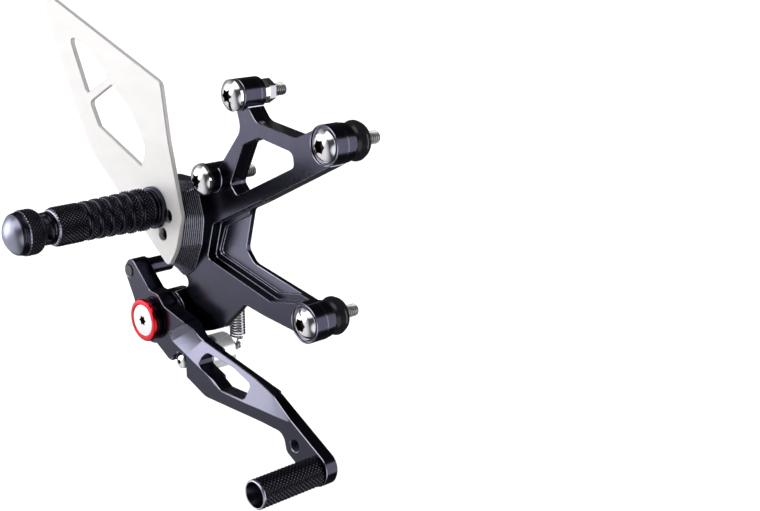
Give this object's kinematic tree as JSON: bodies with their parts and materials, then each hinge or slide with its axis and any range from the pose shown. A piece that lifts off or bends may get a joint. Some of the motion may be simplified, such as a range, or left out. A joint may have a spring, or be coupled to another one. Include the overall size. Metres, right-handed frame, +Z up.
{
  "type": "motorcycle rear set with foot peg and brake lever",
  "caption": "Motorcycle brake-side rear set: milled bracket with bolts and spacers, knurled foot peg, heel guard and a pivoting brake lever with toe peg.",
  "frame": {"origin": "on the upper front bolt's axis, in the plane where its spacer sleeve meets the motorcycle frame", "axes": "+X forwards, +Y inboard towards the motorcycle, +Z up"},
  "size_m": [0.2788, 0.1615, 0.2641],
  "materials": {
    "black_anodised": "satin black anodised",
    "brushed_guard": "brushed",
    "grey_cap": "satin",
    "red_anodised": "gloss red anodised",
    "polished_bolt": "polished",
    "polished_bobbin": "polished",
    "black_spacer": "matte",
    "steel": "machined",
    "dark_steel": "blackened",
    "bearing_steel": "ground",
    "spring_steel": "drawn wire"
  },
  "bodies": {
    "bracket_group": {"bracket": "black_anodised", "heel_guard": "brushed_guard", "guard_dowel": "steel", "peg_base": "black_anodised", "peg_sleeve": "black_anodised", "peg_knob": "black_anodised", "peg_end_cap": "grey_cap", "peg_bolt": "steel", "front_frame_bolts": "polished_bolt", "boss_rings": "black_anodised", "bulged_spacers": "black_spacer", "spacer_sleeves": "steel", "head_washers": "dark_steel", "top_rear_bolt": "polished_bolt", "rear_bolt": "polished_bolt", "top_rear_spacer": "polished_bolt", "top_rear_nut": "steel", "bearing_inner_races": "bearing_steel", "race_spacer": "bearing_steel", "bearing_balls": "bearing_steel", "pivot_axle": "steel", "hub_collar": "black_anodised", "pivot_ring": "red_anodised", "pivot_screw": "polished_bolt", "return_spring": "spring_steel", "spring_post": "steel"},
    "lever": {"brake_lever": "black_anodised", "bearing_outer_races": "bearing_steel", "toe_peg": "black_anodised", "toe_peg_screw": "steel", "pushrod_pin": "dark_steel", "pushrod_spacer": "black_anodised", "lug_screw": "steel", "spring_bobbin": "polished_bobbin", "spring_pin": "steel"}
  },
  "joints": [
    {"name": "brake_pivot", "type": "hinge", "parent": "bracket_group", "child": "lever", "pos_m": [-0.1518, -0.042, -0.1329], "axis": [0, 1, 0], "range_deg": [0, 14], "stiffness_Nm_per_rad": 2.4, "springref_deg": -14.32, "deforming": ["return_spring"]}
  ]
}
